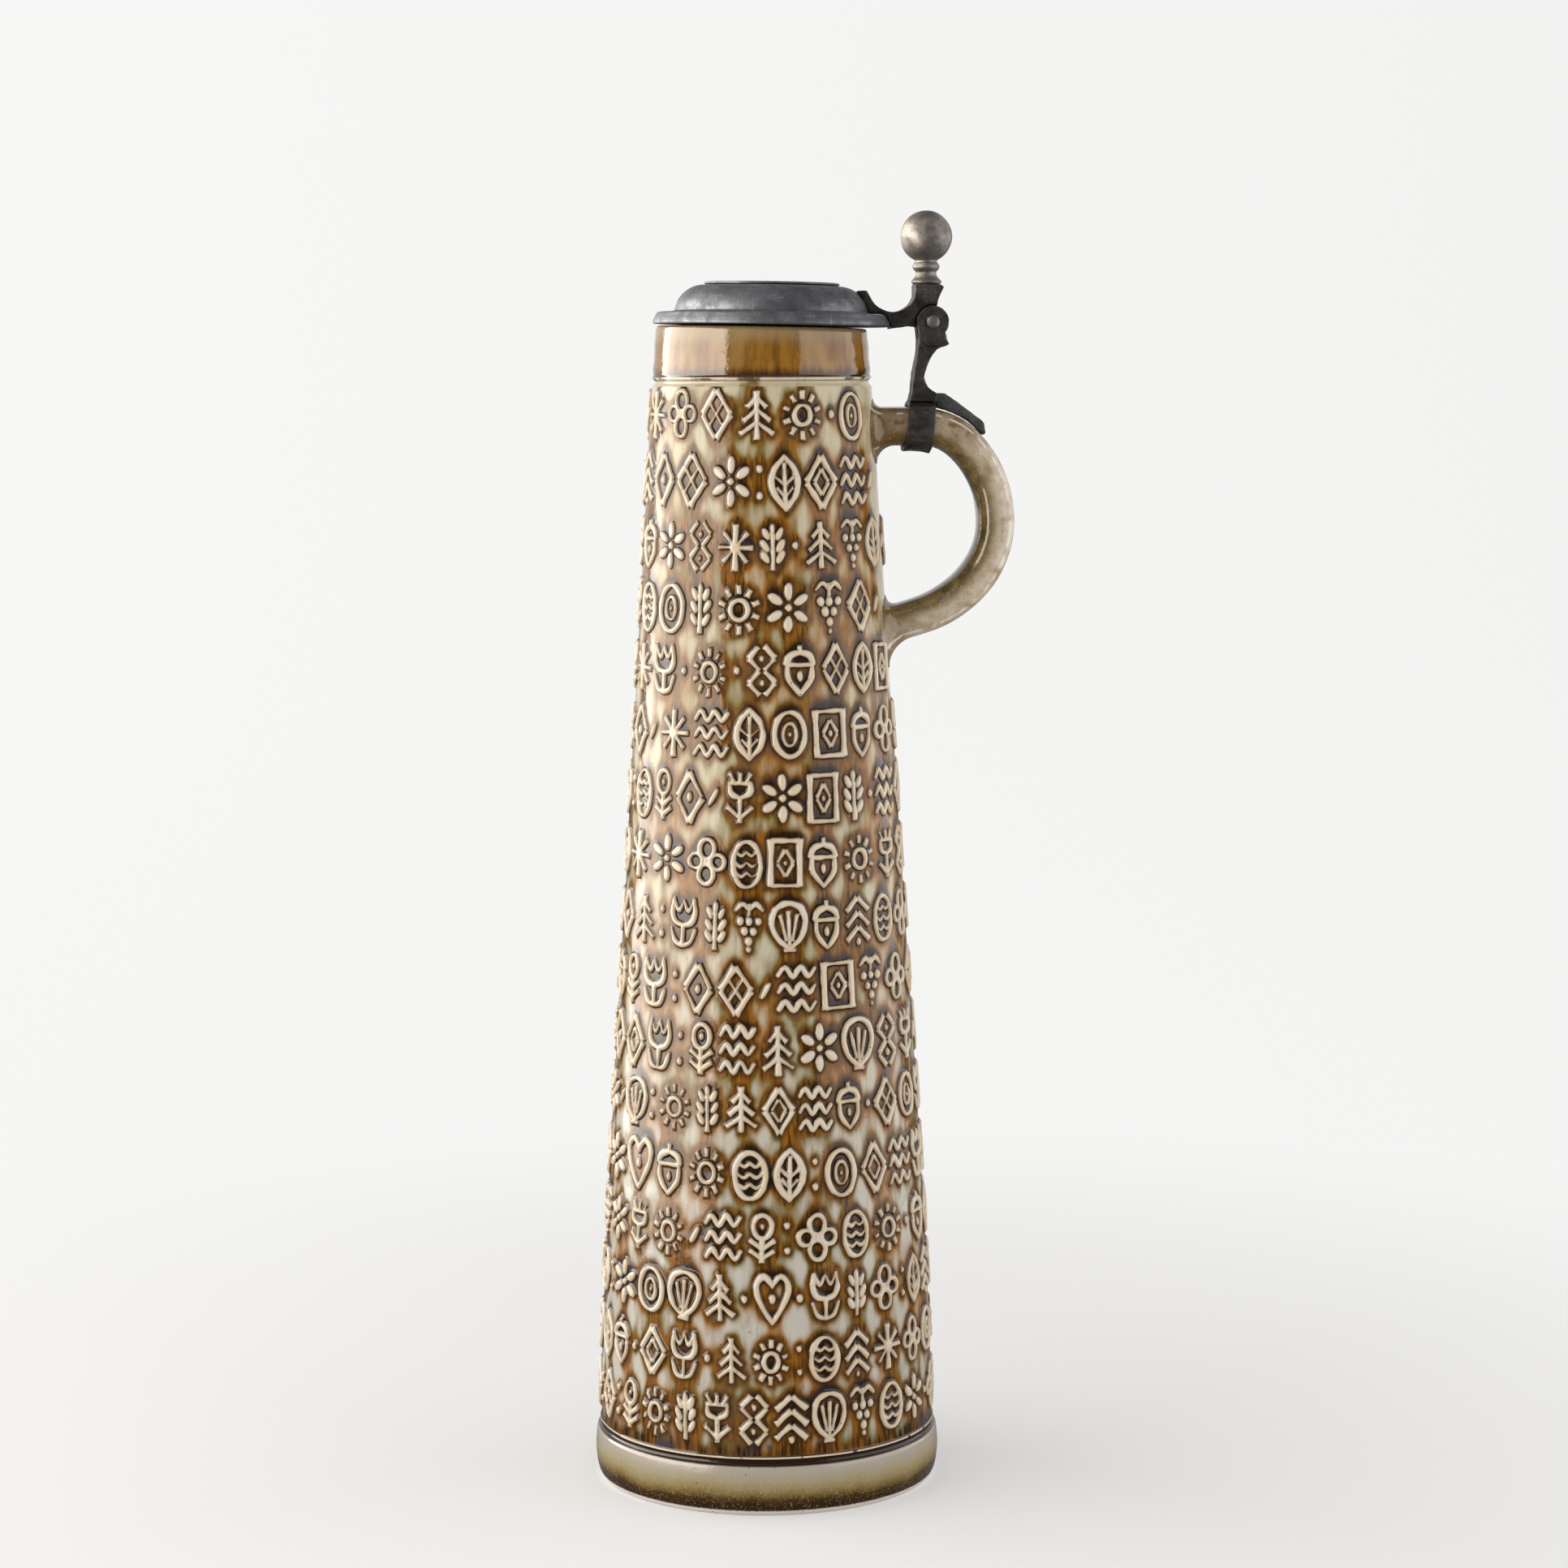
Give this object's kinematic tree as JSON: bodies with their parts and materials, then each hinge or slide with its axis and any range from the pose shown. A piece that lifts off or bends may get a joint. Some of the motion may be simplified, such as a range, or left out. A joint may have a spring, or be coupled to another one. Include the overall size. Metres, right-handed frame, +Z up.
{
  "type": "lidded beer stein",
  "caption": "Tall tapering stoneware beer stein with a loop handle and a hinged pewter lid that a thumblift opens.",
  "frame": {"origin": "centre of the flat base, on the surface that the stein stands on", "axes": "+Z up along the stein's own axis, +X toward the handle, +Y along the lid's hinge pin"},
  "size_m": [0.1439, 0.1176, 0.4298],
  "materials": {
    "stoneware_glaze": "glossy mottled brown glaze over cream relief",
    "handle_glaze": "glossy beige glaze with olive and brown speckle",
    "pewter_lid": "cast pewter, worn and mottled",
    "pewter_disc": "turned pewter, worn",
    "pewter_bracket": "cast pewter, dark patina",
    "pewter_ball": "turned pewter, mottled patina",
    "pewter_strut": "cast pewter, dark patina",
    "pewter_spur": "cast pewter, dark patina",
    "pewter_band": "cast pewter, dark patina",
    "pewter_pin": "riveted pin end, worn"
  },
  "bodies": {
    "vessel": {"stoneware_body": "stoneware_glaze", "stoneware_handle": "handle_glaze", "hinge_strut": "pewter_strut", "handle_spur": "pewter_spur", "handle_band": "pewter_band", "hinge_pin": "pewter_pin"},
    "lid": {"lid_shell": "pewter_lid", "lid_top_disc": "pewter_disc", "lid_bracket": "pewter_bracket", "thumblift_finial": "pewter_ball"}
  },
  "joints": [
    {"name": "lid_hinge", "type": "hinge", "parent": "vessel", "child": "lid", "pos_m": [0.057, 0, 0.3927], "axis": [0, 1, 0], "range_deg": [0, 115]}
  ]
}
